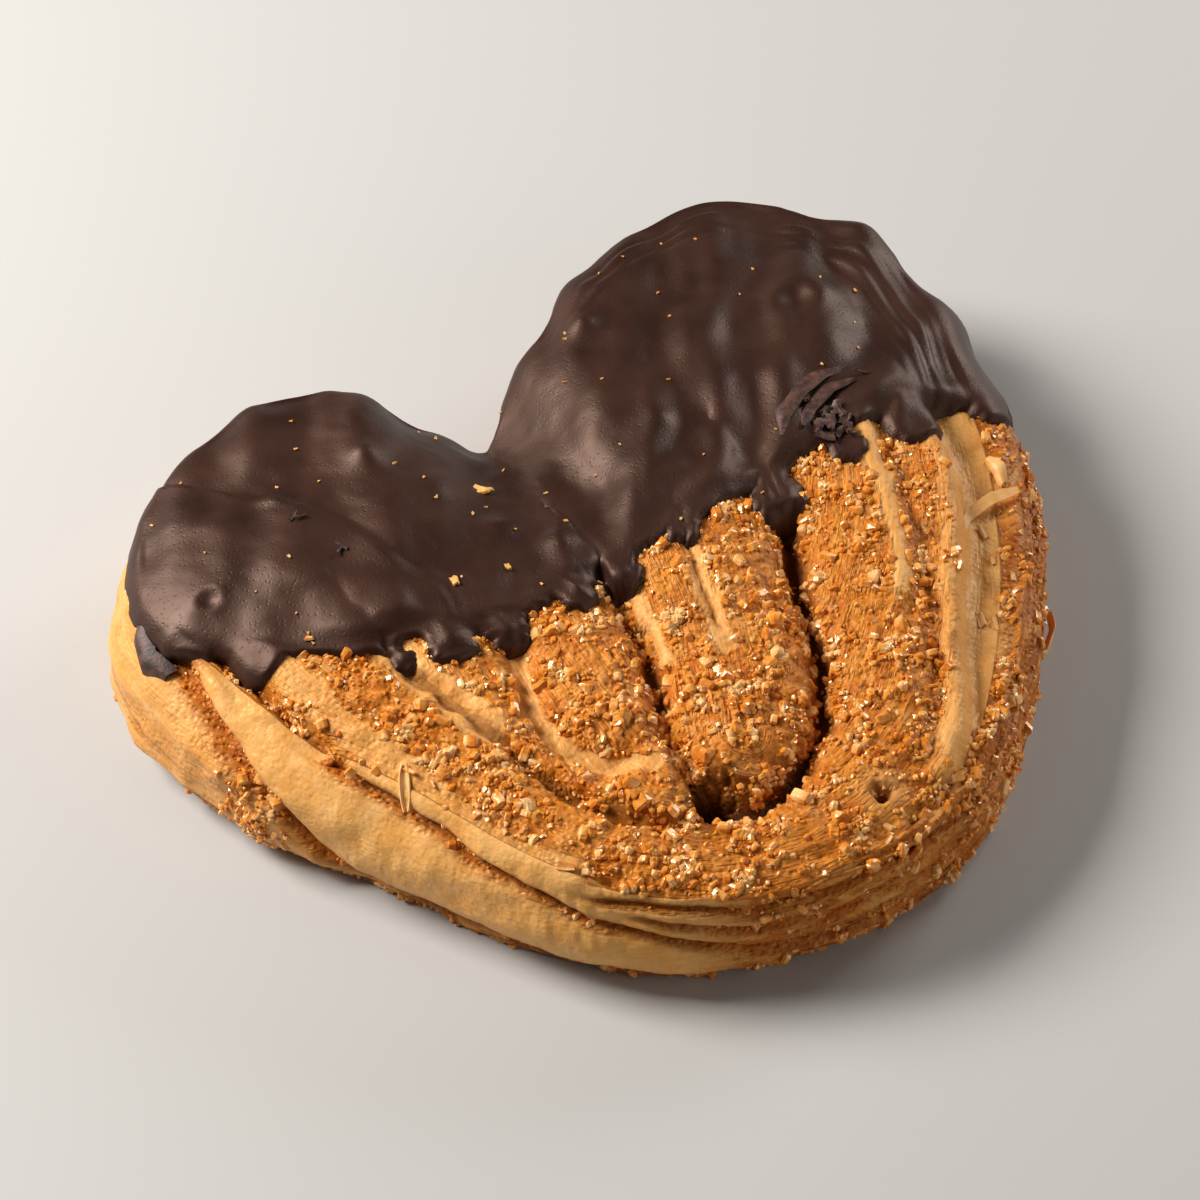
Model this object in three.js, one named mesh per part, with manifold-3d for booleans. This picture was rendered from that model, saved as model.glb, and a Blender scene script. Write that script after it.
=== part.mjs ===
// A palmier: a heart of coiled puff pastry that lies on its flat cut face, both lobes dipped in dark chocolate.
// Millimetres, +Z up. The fold of the heart points along -Y and its lobes along +Y. The origin is on the
// resting face, under the middle of the object's box.
import * as THREE from "three";
import { mergeVertices } from "three/addons/utils/BufferGeometryUtils.js";
import Module from "manifold-3d";

// Driving dimensions, mm.
const FOLD_HEIGHT = 17.5; // top face at the fold, where the coil turns
const LOBE_HEIGHT = 22; // top face over the lobes
const RIM_DROP = 3.5; // how far the top face falls from its middle to its rim
const FRONT_INSET = 2; // rim inside the foot at the fold and at the notch
const SIDE_INSET = 5.5; // further inset at the widest point of the flanks, where the outer layers flare out
const FLARE_FRONT = 5; // the flare fades out from here
const FLARE_BACK = 38; // to here, so that the lobes stand nearly upright at the back
const HALF_WIDTH = 56; // from the seam to the widest point
const BULGE_HEIGHT = 5.5; // height at which the wall is widest
const TOE_ROUND = 2.2; // how far the wall tucks in from there to the resting face
const VALLEY_DEPTH = 8; // dip of the top face between the two lobes, at the notch
const VALLEY_WIDTH = 8;
const COAT_THICKNESS = 1.5;
const COAT_GAP = 0.3; // clearance between the pastry and the inside of its coat
const COAT_FURROW_SHARE = 0.5; // how much of each furrow's depth still shows through the chocolate
const COAT_LINING_SHARE = 0.85; // how far the chocolate's underside follows the furrows down
const COAT_LOW_EDGE = 10.5; // height of the coat's lower edge at the seam
const COAT_LOW_EDGE_SLOPE = -0.08; // it sits higher on the left lobe than on the right
const DRIP_PERIOD = 6.2;
const DRIP_REACH = 1.3;
const BLOCK_BACK = 70; // the block that marks the dipped part reaches past the lobes and over the top
const BLOCK_TOP = 40;

// Mesh density.
const COLUMNS = 100; // round the outline
const TOP_RINGS = 17;
const WALL_RINGS = 6;
const HALF_WALL = Math.ceil(WALL_RINGS / 2);

// The foot: the widest outline of the heart, anticlockwise from the fold.
const HUB = new THREE.Vector2(-1, -12); // every point of the outline can be seen from here
const FOOT = [
  [2, -52], // fold
  [26, -47.5],
  [45, -30],
  [57, -10],
  [61.5, 12], // right flank
  [57.5, 34],
  [43, 49.5], // right crown
  [25, 45],
  [10, 35.5],
  [1, 28], // notch
  [-8, 33],
  [-20, 41.5], // left crown
  [-39, 35],
  [-51.5, 19], // left flank
  [-48.5, 0],
  [-38.5, -18],
  [-20, -43],
];

// The furrows between the coils' strands. A narrow one is a crease, and a wide one the open face of a sheet.
const FURROWS = [
  {
    // the seam, where the two coils meet
    width: 2.2,
    depth: 5,
    points: [[0, 8], [0.3, -10], [-1, -20], [-3, -30], [-3.5, -38]],
  },
  {
    // round the right coil
    width: 2.7,
    depth: 5,
    points: [[23, 10], [24, -3], [20.5, -15], [17.5, -26], [11, -35], [4, -38.5], [-3.5, -38]],
  },
  {
    // round the left coil
    width: 2.5,
    depth: 3.5,
    points: [[-29, 8], [-26, -7], [-21, -19], [-17, -29], [-9, -37.5], [-3.5, -38]],
  },
  {
    // the crescent in the left coil
    width: 2.2,
    depth: 2.5,
    points: [[-13, -9], [-15.5, -18], [-13.5, -25.5], [-6.5, -30]],
  },
  {
    // the bare shelf along the right flank
    width: 3.2,
    depth: 4,
    points: [[50, 14], [49, 2], [44, -13], [38, -26], [30, -38], [22, -46]],
  },
  {
    // the crack along the left flank
    width: 1.8,
    depth: 2,
    points: [[-44, 6], [-38.5, -10], [-33, -23], [-29, -33], [-22, -41], [-12, -47]],
  },
];
const FURROW_SAMPLES = 60;
const EDGE_SAMPLES = 120;

// The chocolate's front edge across the top face, from the left flank to the right one.
const DIP_EDGE = [[-58, 20], [-45, 6], [-33, -2], [-15, -6.5], [0, -5], [20, -1], [40, 2.5], [66, 2]];

const smooth = (low, high, value) => THREE.MathUtils.smoothstep(value, low, high);

function curveThrough(points, closed = false) {
  const places = points.map(([x, y]) => new THREE.Vector3(x, y, 0));
  return new THREE.CatmullRomCurve3(places, closed, "centripetal");
}

const furrows = FURROWS.map(({ width, depth, points }) => ({
  width,
  depth,
  line: curveThrough(points).getSpacedPoints(FURROW_SAMPLES),
}));

function distanceToLine(x, y, line) {
  let nearest = Infinity;
  for (const point of line) nearest = Math.min(nearest, (point.x - x) ** 2 + (point.y - y) ** 2);
  return Math.sqrt(nearest);
}

// How far the furrows and the valley between the lobes cut into the top face at a point.
function furrowDepth(x, y) {
  let cut = 0;
  for (const { line, width, depth } of furrows) {
    cut = Math.max(cut, depth * Math.exp(-((distanceToLine(x, y, line) / width) ** 2)));
  }
  return cut;
}

function valleyDepth(x, y) {
  return VALLEY_DEPTH * smooth(-8, 28, y) * Math.exp(-((x / VALLEY_WIDTH) ** 2));
}

// The top face at a plan point. share is 0 at the hub and 1 at the rim.
function topHeight(x, y, share, furrowShare) {
  const crown = THREE.MathUtils.lerp(FOLD_HEIGHT, LOBE_HEIGHT, smooth(-52, 8, y));
  return crown - RIM_DROP * share ** 5 - valleyDepth(x, y) - furrowShare * furrowDepth(x, y);
}

// The closed body of the pastry, grown upwards and outwards by grow. Its base stays on the resting face.
function bodyGeometry(grow, furrowShare) {
  const foot = curveThrough(FOOT, true).getSpacedPoints(COLUMNS).slice(0, COLUMNS);
  const rings = TOP_RINGS + WALL_RINGS;
  const positions = [];
  for (const point of foot) {
    const out = new THREE.Vector2(point.x - HUB.x, point.y - HUB.y);
    const footReach = out.length();
    out.normalize();
    const flank = Math.min(1, Math.abs(point.x) / HALF_WIDTH) ** 2;
    const inset = FRONT_INSET + SIDE_INSET * flank * (1 - smooth(FLARE_FRONT, FLARE_BACK, point.y));
    const rimReach = footReach - inset;
    const place = (reach, z) => positions.push(HUB.x + out.x * reach, HUB.y + out.y * reach, z);
    const heightAt = (share) => {
      const reach = share * rimReach;
      return grow + topHeight(HUB.x + out.x * reach, HUB.y + out.y * reach, share, furrowShare);
    };
    for (let ring = 1; ring <= TOP_RINGS; ring++) {
      const share = ring / TOP_RINGS;
      place(share * rimReach + grow * share ** 5, heightAt(share));
    }
    const rimHeight = heightAt(1);
    for (let ring = 1; ring <= WALL_RINGS; ring++) {
      if (ring <= HALF_WALL) {
        const turn = (ring / HALF_WALL) * (Math.PI / 2);
        const height = BULGE_HEIGHT + (rimHeight - BULGE_HEIGHT) * Math.cos(turn);
        place(rimReach + grow + inset * Math.sin(turn), height);
      } else {
        const turn = ((ring - HALF_WALL) / (WALL_RINGS - HALF_WALL)) * (Math.PI / 2);
        place(footReach + grow - TOE_ROUND * (1 - Math.cos(turn)), BULGE_HEIGHT * (1 - Math.sin(turn)));
      }
    }
  }
  const topHub = positions.length / 3;
  positions.push(HUB.x, HUB.y, grow + topHeight(HUB.x, HUB.y, 0, furrowShare));
  const baseHub = topHub + 1;
  positions.push(HUB.x, HUB.y, 0);

  const faces = [];
  for (let column = 0; column < COLUMNS; column++) {
    const here = column * rings;
    const next = ((column + 1) % COLUMNS) * rings;
    faces.push(topHub, here, next);
    for (let ring = 0; ring < rings - 1; ring++) {
      faces.push(here + ring, here + ring + 1, next + ring + 1);
      faces.push(here + ring, next + ring + 1, next + ring);
    }
    faces.push(baseHub, next + rings - 1, here + rings - 1);
  }
  const geometry = new THREE.BufferGeometry();
  geometry.setAttribute("position", new THREE.Float32BufferAttribute(positions, 3));
  geometry.setIndex(faces);
  return geometry;
}

// The block that holds all that was dipped: behind the front edge and its drips, above the coat's lower edge.
function dipGeometry() {
  const [left] = DIP_EDGE[0];
  const [right] = DIP_EDGE[DIP_EDGE.length - 1];
  const front = curveThrough(DIP_EDGE).getSpacedPoints(EDGE_SAMPLES);
  const outline = new THREE.Shape();
  outline.moveTo(right, BLOCK_BACK);
  outline.lineTo(left, BLOCK_BACK);
  for (const { x, y } of front) {
    outline.lineTo(x, y - DRIP_REACH * Math.abs(Math.sin((Math.PI * x) / DRIP_PERIOD)));
  }
  outline.closePath();
  const geometry = new THREE.ExtrudeGeometry(outline, { depth: BLOCK_TOP, bevelEnabled: false });
  const position = geometry.getAttribute("position");
  for (let i = 0; i < position.count; i++) {
    const lowEdge = COAT_LOW_EDGE + COAT_LOW_EDGE_SLOPE * position.getX(i);
    if (position.getZ(i) < BLOCK_TOP / 2) position.setZ(i, lowEdge);
  }
  return geometry;
}

const wasm = await Module();
wasm.setup();

function solidOf(geometry) {
  geometry.deleteAttribute("normal");
  geometry.deleteAttribute("uv");
  const merged = mergeVertices(geometry, 1e-4);
  return new wasm.Manifold(
    new wasm.Mesh({
      numProp: 3,
      vertProperties: merged.attributes.position.array,
      triVerts: new Uint32Array(merged.index.array),
    }),
  );
}

function geometryOf(solid) {
  const mesh = solid.getMesh();
  const geometry = new THREE.BufferGeometry();
  geometry.setAttribute("position", new THREE.BufferAttribute(mesh.vertProperties, mesh.numProp));
  geometry.setIndex(new THREE.BufferAttribute(mesh.triVerts, 1));
  return geometry;
}

// The chocolate: a shell that follows the pastry, cut where the dip ends. Slivers of the cut are dropped.
function coatGeometry() {
  const outside = solidOf(bodyGeometry(COAT_GAP + COAT_THICKNESS, COAT_FURROW_SHARE));
  const inside = solidOf(bodyGeometry(COAT_GAP, COAT_LINING_SHARE));
  const shell = outside.subtract(inside).intersect(solidOf(dipGeometry()));
  const pieces = shell.decompose().sort((a, b) => b.volume() - a.volume());
  return geometryOf(pieces[0]);
}

function named(name, geometry, material) {
  const mesh = new THREE.Mesh(geometry, material);
  mesh.name = name;
  return mesh;
}

const crust = new THREE.MeshStandardMaterial({ color: 0xc98a45, roughness: 0.65, metalness: 0 });
const chocolate = new THREE.MeshStandardMaterial({ color: 0x2e1a14, roughness: 0.42, metalness: 0 });

const palmier = new THREE.Group();
palmier.add(named("pastry", bodyGeometry(0, 1), crust));
palmier.add(named("chocolate_coat", coatGeometry(), chocolate));

const middle = new THREE.Box3().setFromObject(palmier).getCenter(new THREE.Vector3());
palmier.position.set(-middle.x, -middle.y, 0);

export default palmier;
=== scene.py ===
"""A chocolate-dipped palmier: sugared puff pastry coiled from both sides into a heart, lying on its cut face.

Plan positions are in millimetres from a point on the seam between the lobes, with +X towards the right lobe
and +Y from the fold to the lobes. mesh_object moves each mesh into the frame, in metres.
"""
import math

import bpy
import numpy as np
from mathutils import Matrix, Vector
from mathutils.bvhtree import BVHTree


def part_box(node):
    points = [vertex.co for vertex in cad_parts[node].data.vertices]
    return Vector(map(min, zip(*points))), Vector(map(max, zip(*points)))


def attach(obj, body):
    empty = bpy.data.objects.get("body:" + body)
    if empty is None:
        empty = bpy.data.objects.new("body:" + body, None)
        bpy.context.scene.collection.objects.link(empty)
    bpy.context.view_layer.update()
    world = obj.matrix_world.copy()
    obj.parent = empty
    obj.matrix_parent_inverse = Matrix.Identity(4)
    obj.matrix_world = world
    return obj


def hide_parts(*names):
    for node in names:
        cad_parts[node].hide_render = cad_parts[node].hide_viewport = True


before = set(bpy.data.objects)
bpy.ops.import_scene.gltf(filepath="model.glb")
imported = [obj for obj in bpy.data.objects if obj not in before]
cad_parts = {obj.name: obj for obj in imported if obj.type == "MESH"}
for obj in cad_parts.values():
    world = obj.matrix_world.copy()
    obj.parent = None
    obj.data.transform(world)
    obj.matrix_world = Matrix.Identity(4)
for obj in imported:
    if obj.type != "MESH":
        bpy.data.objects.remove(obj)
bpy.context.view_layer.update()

MM = 0.001
UP = np.array([0, 0, 1.0])
LEFT_REACH = 51.96  # from that point on the seam to the pastry's left flank
FRONT_REACH = 52.19  # from it to the fold
PASTRY_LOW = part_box("pastry")[0]
PLAN_ORIGIN = np.array([PASTRY_LOW.x / MM + LEFT_REACH, PASTRY_LOW.y / MM + FRONT_REACH, 0.0])
HUB = np.array([-1.0, -12.0])  # the whole outline can be seen from here

# The body of the pastry.
FOLD_HEIGHT = 17.5
LOBE_HEIGHT = 22.0
RIM_DROP = 3.5
FRONT_INSET = 2.0
SIDE_INSET = 5.5
FLARE_FRONT = 5.0
FLARE_BACK = 38.0
HALF_WIDTH = 56.0
BULGE_HEIGHT = 5.5
TOE_ROUND = 2.2
VALLEY_DEPTH = 8.0
VALLEY_WIDTH = 8.0

# The coils' strands on the cut face. A furrow is cut in; a ridge stands up; a sheet is bare, smooth dough.
SEAM = [(0, 8), (0.3, -10), (-1, -20), (-3, -30), (-3.5, -38)]
RIGHT_COIL = [(23, 10), (24, -3), (20.5, -15), (17.5, -26), (11, -35), (4, -38.5), (-3.5, -38)]
LEFT_COIL = [(-29, 8), (-26, -7), (-21, -19), (-17, -29), (-9, -37.5), (-3.5, -38)]
LEFT_CRESCENT = [(-13.5, -9), (-15.5, -18), (-13.5, -25.5), (-6.5, -30)]
LEFT_CRACK = [(-44, 6), (-38.5, -10), (-33, -23), (-29, -33), (-22, -41), (-12, -47)]
LEFT_FOLD = [(-28, 1), (-25.5, -8), (-24, -13), (-21.5, -18)]
LEFT_STRIP = [(-40, 3), (-35.5, -10), (-31, -21), (-27.5, -30), (-21, -38)]
RIGHT_RIDGE = [(46, 6), (45, -4), (42.5, -12), (38, -20), (33, -29), (28.5, -38), (23, -44)]
RIGHT_SHELF = [(51, 14), (50, 0), (46.5, -13), (41, -24), (35, -34), (28, -42)]
RIGHT_STREAK = [(41, 2), (39.6, -5.5), (37.8, -11.2), (36, -16.5), (32.5, -26), (28, -34), (22, -41)]
RIGHT_CURL = [(39, 4), (37.3, -2), (36.1, -7.4), (34.7, -11.7), (32.9, -16.5), (30.5, -21)]
RIGHT_LINE = [(54, 4), (52.5, -6), (49, -15), (43.5, -25), (37, -34), (29, -42.5), (17, -48.5)]
RIGHT_BRIM = [(56.5, 6), (55, -6), (51.5, -16), (46, -26), (39.5, -35.5), (31, -44)]
RIGHT_FOLD = [(12.5, 2), (10.5, -7), (9.3, -14), (8, -20)]
RIGHT_CORE = [(12, 4), (11, -8), (8.5, -20), (4.5, -31)]
LEFT_CORE = [(-8, 4), (-8.5, -10), (-8, -22), (-6, -32)]

FURROWS = [  # points, half width, depth, how dark: caramel browning along it, and painted shade where it is deep
    (SEAM, 1.1, 3.6, 0.7),
    (RIGHT_COIL, 1.5, 4.7, 0.9),
    (LEFT_COIL, 0.9, 2.2, 0.5),
    (LEFT_CRESCENT, 1.9, 2.4, 0.2),
    (LEFT_CRACK, 0.5, 2.0, 0.9),
    (LEFT_FOLD, 0.4, 1.4, 0.8),
    (RIGHT_STREAK, 0.9, 0.7, 0.8),
    (RIGHT_LINE, 0.6, 1.0, 1.0),
    (RIGHT_FOLD, 0.5, 1.2, 0.35),
]
RIDGES = [  # points, half width, height
    (RIGHT_RIDGE, 1.3, 0.8),
    (RIGHT_CURL, 1.3, 0.8),
    (LEFT_STRIP, 2.2, 0.9),
    (LEFT_FOLD, 2.4, 0.8),
    (RIGHT_FOLD, 1.8, 0.6),
]
SHELF = (0.9, 7.6, 0.9, 1.3)  # the sunk sheet outside the right ridge: start, end, step down, further sag
SHEETS = [  # points, half width, how bare
    (RIGHT_RIDGE, 1.4, 0.55),
    (RIGHT_SHELF, 4.3, 0.85),
    (RIGHT_BRIM, 1.5, 0.75),
    (LEFT_FOLD, 2.3, 0.8),
    (LEFT_STRIP, 1.7, 0.65),
    (LEFT_CRESCENT, 1.3, 0.8),
    (RIGHT_FOLD, 1.3, 0.7),
    (RIGHT_CURL, 1.2, 0.8),
    ([(2.8, 1), (2.4, -6), (2, -12), (1.4, -18)], 0.9, 0.8),
]
PITS = [  # place, radius, depth and painted shade: where both coils end, and a burst bubble
    (-2.2, -37.0, 2.6, 8.5, 1.0),
    (15.0, -44.0, 1.0, 2.4, 0.45),
]

# Lines round the wall, as (angle round the hub in degrees, height), cut in and browned.
CREASE = [
    (140, 20), (158, 16.6), (169, 13), (178, 9.2), (184, 5.4), (191, 3), (227, 2.2), (262, 1.5), (290, 1)
]
CRACK = [(160, 17.3), (177, 16.2), (195, 15.1), (212, 14.1), (225, 12.2), (239, 10.2), (254, 8), (273, 5.6)]
WALL_LINES = [  # points, half width, depth, browning
    (CREASE, 1.1, 2.0, 1.0),
    ([(172, 17.0), (186, 15.9), (199, 14.7), (213, 13.3), (226, 11.9)], 0.55, 1.9, 1.0),
    ([(215, 13.2), (225, 12.0), (239, 10.2), (254, 8.0), (273, 5.6), (290, 4.6), (312, 4.4)], 0.5, 1.4, 1.0),
    ([(232, 13.4), (253, 12.8), (273, 12.3), (296, 12), (312, 10.6), (335, 11.8), (372, 14.5)], 0.4, 1, 0.9),
    ([(240, 11.6), (259, 10.2), (281, 8.4), (301, 7.4), (322, 7.2), (350, 8.2), (400, 8.0)], 0.4, 1.0, 0.8),
    ([(285, 2.6), (318, 3.4), (350, 4.2), (405, 4.4)], 0.5, 0.8, 0.9),
    ([(92, 8.0), (115, 7.0), (140, 8.4), (165, 6.0)], 0.4, 0.8, 0.6),
    ([(92, 3.6), (125, 3.2), (150, 4.0), (176, 3.0)], 0.5, 0.8, 0.9),
    ([(395, 6.0), (420, 7.2), (442, 6.4)], 0.4, 0.8, 0.7),
]
NOTCH_TURN = math.radians(87)  # lengths round the wall are measured from the notch

# The dip: front edge across the cut face, and lower edge round the wall.
DIP_EDGE = [(-58, 20), (-45, 6), (-33, -2), (-15, -6.5), (0, -5), (20, -1), (40, 2.5), (66, 2)]
COAT_THICKNESS = 1.15
COAT_BED = 0.8  # how far the pastry lies lower where it is well covered
COAT_CEILING = 23.6  # lumps above this height are pressed flat, so that the coat keeps within the frame
COAT_LOW_EDGE = 10.5
COAT_LOW_EDGE_SLOPE = -0.08


# ---------------------------------------------------------------- numbers
def smooth(low, high, value):
    """A smooth step from 0 at low to 1 at high. It falls instead where low is the larger."""
    t = np.clip((value - low) / (high - low), 0.0, 1.0)
    return t * t * (3.0 - 2.0 * t)


def mix(a, b, share):
    return a + (b - a) * share


def bell(distance, width):
    """1 where the distance is 0, falling away on both sides over about the width."""
    return np.exp(-((distance / width) ** 2))


LATTICE = np.random.RandomState(7)
PERMUTATION = LATTICE.permutation(256)
GRADIENTS = LATTICE.normal(size=(256, 3))
GRADIENTS /= np.linalg.norm(GRADIENTS, axis=1, keepdims=True)


def noise(points, size, seed=0):
    """Gradient noise in about -1 to 1, with features of about size."""
    p = np.asarray(points, float) / np.asarray(size, float) + seed * 17.31
    cell = np.floor(p).astype(np.int64)
    f = p - cell
    fade = f * f * f * (f * (f * 6 - 15) + 10)
    total = 0.0
    for dx in (0, 1):
        row_x = PERMUTATION[(cell[..., 0] + dx) & 255]
        weight_x = fade[..., 0] if dx else 1 - fade[..., 0]
        for dy in (0, 1):
            row_y = PERMUTATION[(row_x + cell[..., 1] + dy) & 255]
            weight_y = weight_x * (fade[..., 1] if dy else 1 - fade[..., 1])
            for dz in (0, 1):
                g = GRADIENTS[PERMUTATION[(row_y + cell[..., 2] + dz) & 255]]
                dot = g[..., 0] * (f[..., 0] - dx) + g[..., 1] * (f[..., 1] - dy)
                dot = dot + g[..., 2] * (f[..., 2] - dz)
                total = total + dot * weight_y * (fade[..., 2] if dz else 1 - fade[..., 2])
    return 1.6 * total


def fractal(points, size, octaves=3, seed=0):
    """Noise with finer and weaker octaves added."""
    total, strength = 0.0, 1.0
    size = np.asarray(size, float)
    for octave in range(octaves):
        total = total + strength * noise(points, size / 2**octave, seed + octave * 5)
        strength *= 0.5
    return total


def grains(points, size, seed=0):
    """0 at the middle of each grain of a packed bed, rising towards its edges."""
    p = np.asarray(points, float) / size + seed * 3.7
    cell = np.floor(p).astype(np.int64)
    nearest = np.full(p.shape[:-1], 9.0)
    for dx in (-1, 0, 1):
        for dy in (-1, 0, 1):
            for dz in (-1, 0, 1):
                c = cell + (dx, dy, dz)
                row = PERMUTATION[c[..., 0] & 255]
                row = PERMUTATION[(row + c[..., 1]) & 255]
                row = PERMUTATION[(row + c[..., 2]) & 255]
                centre = c + 0.5 + 0.33 * GRADIENTS[row]
                nearest = np.minimum(nearest, ((p - centre) ** 2).sum(-1))
    return np.sqrt(nearest)


def sawtooth(phase):
    """Slow rise and steep fall, like the edges of stacked sheets."""
    f = phase - np.floor(phase)
    return np.where(f < 0.8, f / 0.8, (1 - f) / 0.2)


CURVE_SPACING = 0.8


def curve_through(points, spacing=CURVE_SPACING):
    """A Catmull-Rom curve through the points, as evenly spaced samples."""
    p = np.array(points, float)
    p = np.vstack([2 * p[0] - p[1], p, 2 * p[-1] - p[-2]])
    samples = []
    for i in range(1, len(p) - 2):
        t = np.linspace(0, 1, 24, endpoint=False)[:, None]
        a, b, c, d = p[i - 1 : i + 3]
        samples.append(
            0.5 * (2 * b + (c - a) * t + (2 * a - 5 * b + 4 * c - d) * t**2 + (3 * b - a - 3 * c + d) * t**3)
        )
    samples = np.vstack(samples + [p[-2:-1]])
    length = np.concatenate([[0], np.cumsum(np.linalg.norm(np.diff(samples, axis=0), axis=1))])
    even = np.arange(0, length[-1] + spacing / 2, spacing)
    return np.stack([np.interp(even, length, samples[:, k]) for k in (0, 1)], axis=1)


def along_curve(plan, points):
    """Signed distance from a curve, positive on its left, and how far along it the nearest point is."""
    line = curve_through(points, CURVE_SPACING)
    shape = plan.shape[:-1]
    plan = plan.reshape(-1, 2)
    nearest = np.zeros(len(plan), int)
    best = np.full(len(plan), np.inf)
    for k, sample in enumerate(line):
        d = (plan[:, 0] - sample[0]) ** 2 + (plan[:, 1] - sample[1]) ** 2
        closer = d < best
        nearest[closer] = k
        best[closer] = d[closer]
    distance = np.full(len(plan), np.inf)
    signed = np.zeros(len(plan))
    travel = np.zeros(len(plan))
    for step in (-1, 0):
        start = np.clip(nearest + step, 0, len(line) - 2)
        a, b = line[start], line[start + 1]
        run = b - a
        t = np.clip(((plan - a) * run).sum(1) / (run * run).sum(1), 0, 1)
        gap = plan - a - run * t[:, None]
        d = np.hypot(gap[:, 0], gap[:, 1])
        closer = d < distance
        side = np.sign(run[:, 0] * gap[:, 1] - run[:, 1] * gap[:, 0] + 1e-12)
        distance[closer] = d[closer]
        signed[closer] = (d * side)[closer]
        travel[closer] = ((start + t) * CURVE_SPACING)[closer]
    return signed.reshape(shape), travel.reshape(shape)


# ---------------------------------------------------------------- the body's form, read from the frame
def tree_of(piece):
    """A tree for casting rays at an object's mesh."""
    vertices = [v.co.copy() for v in piece.data.vertices]
    return BVHTree.FromPolygons(vertices, [tuple(p.vertices) for p in piece.data.polygons])


def foot_outline(samples=720, blur=3.0):
    """Distance from the hub to the pastry's widest outline, for evenly spaced angles."""
    tree = tree_of(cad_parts["pastry"])
    hub = (np.append(HUB, BULGE_HEIGHT) + PLAN_ORIGIN) * MM
    angles = np.linspace(0, 2 * np.pi, samples, endpoint=False)
    reach = []
    for angle in angles:
        out = Vector((math.cos(angle), math.sin(angle), 0))
        hit = tree.ray_cast(Vector(hub) + out * 0.2, -out)[0]
        reach.append((hit - Vector(hub)).length / MM)
    offsets = np.arange(-9, 10)
    weights = np.exp(-0.5 * (offsets / blur) ** 2)
    reach = sum(w * np.roll(reach, k) for k, w in zip(offsets, weights)) / weights.sum()
    return angles, reach


FOOT_ANGLES, FOOT_REACH = foot_outline()


def foot_reach(angle):
    """Distance from the hub to the widest outline at any angle."""
    return np.interp(angle, FOOT_ANGLES, FOOT_REACH, period=2 * np.pi)


def graded_angles(count, dense_from, dense_to, dense_share):
    """Column angles round the hub, packed closer between the two angles given in degrees."""
    fine = np.linspace(0, 2 * np.pi, 7200, endpoint=False)
    middle = math.radians((dense_from + dense_to) / 2)
    half = math.radians((dense_to - dense_from) / 2)
    away = np.abs((fine - middle + np.pi) % (2 * np.pi) - np.pi)
    density = mix(dense_share, 1.0, 1 - smooth(half, half + 0.25, away))
    total = np.concatenate([[0], np.cumsum(density)])
    return np.interp(np.arange(count) / count * total[-1], total, np.append(fine, 2 * np.pi))


UPPER_WALL = 0.62  # share of the wall's rings above the bulge


class Grid:
    """Columns round the hub and rings from the hub, over the rim and down the wall to the base."""

    def __init__(self, angles, top_rings, wall_rings, base_rings):
        self.angles = angles[:, None]
        self.top, self.wall, self.base = top_rings, wall_rings, base_rings
        ring = np.arange(1, top_rings + wall_rings + base_rings + 1)[None, :]
        self.share = np.clip(ring / top_rings, 0, 1)  # 0 at the hub, 1 at the rim
        self.drop = np.clip((ring - top_rings) / wall_rings, 0, 1)  # 0 at the rim, 1 at the resting face
        self.under = np.clip((ring - top_rings - wall_rings) / (base_rings + 1), 0, 1)
        self.on_top = np.broadcast_to(ring <= top_rings, (len(angles), ring.shape[1]))
        self.on_wall = np.broadcast_to(
            (ring > top_rings) & (ring <= top_rings + wall_rings), (len(angles), ring.shape[1])
        )


def body_points(grid):
    """The bare form, with no strands: plan reach and height of each grid point, and depth in from the rim."""
    foot = foot_reach(grid.angles)
    out_x, out_y = np.cos(grid.angles), np.sin(grid.angles)
    foot_x, foot_y = HUB[0] + foot * out_x, HUB[1] + foot * out_y
    flare = np.minimum(1, np.abs(foot_x) / HALF_WIDTH) ** 2 * (1 - smooth(FLARE_FRONT, FLARE_BACK, foot_y))
    inset = FRONT_INSET + SIDE_INSET * flare
    rim = foot - inset
    reach = grid.share * rim
    x, y = HUB[0] + reach * out_x, HUB[1] + reach * out_y
    crown = mix(FOLD_HEIGHT, LOBE_HEIGHT, smooth(-52, 8, y))
    valley = VALLEY_DEPTH * smooth(-8, 28, y) * bell(x, VALLEY_WIDTH)
    z = crown - RIM_DROP * grid.share**5 - valley
    upper = np.clip(grid.drop / UPPER_WALL, 0, 1) * np.pi / 2
    lower = np.clip((grid.drop - UPPER_WALL) / (1 - UPPER_WALL), 0, 1) * np.pi / 2
    z = np.where(grid.drop > 0, BULGE_HEIGHT + (z - BULGE_HEIGHT) * np.cos(upper), z)
    z = np.where(grid.drop > UPPER_WALL, BULGE_HEIGHT * (1 - np.sin(lower)), z)
    reach = reach + np.where(grid.drop > 0, inset * np.sin(upper), 0) - TOE_ROUND * (1 - np.cos(lower))
    reach = reach * (1 - grid.under)
    x, y = HUB[0] + reach * out_x, HUB[1] + reach * out_y
    points = np.stack([x, y, np.broadcast_to(z, reach.shape)], axis=-1)
    return points, rim - grid.share * rim


def grid_normals(points):
    """Outward unit normals of a grid of points."""
    across = np.roll(points, -1, axis=0) - np.roll(points, 1, axis=0)
    down = np.gradient(points, axis=1)
    normal = np.cross(down, across)
    return normal / np.maximum(np.linalg.norm(normal, axis=-1, keepdims=True), 1e-9)


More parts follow.
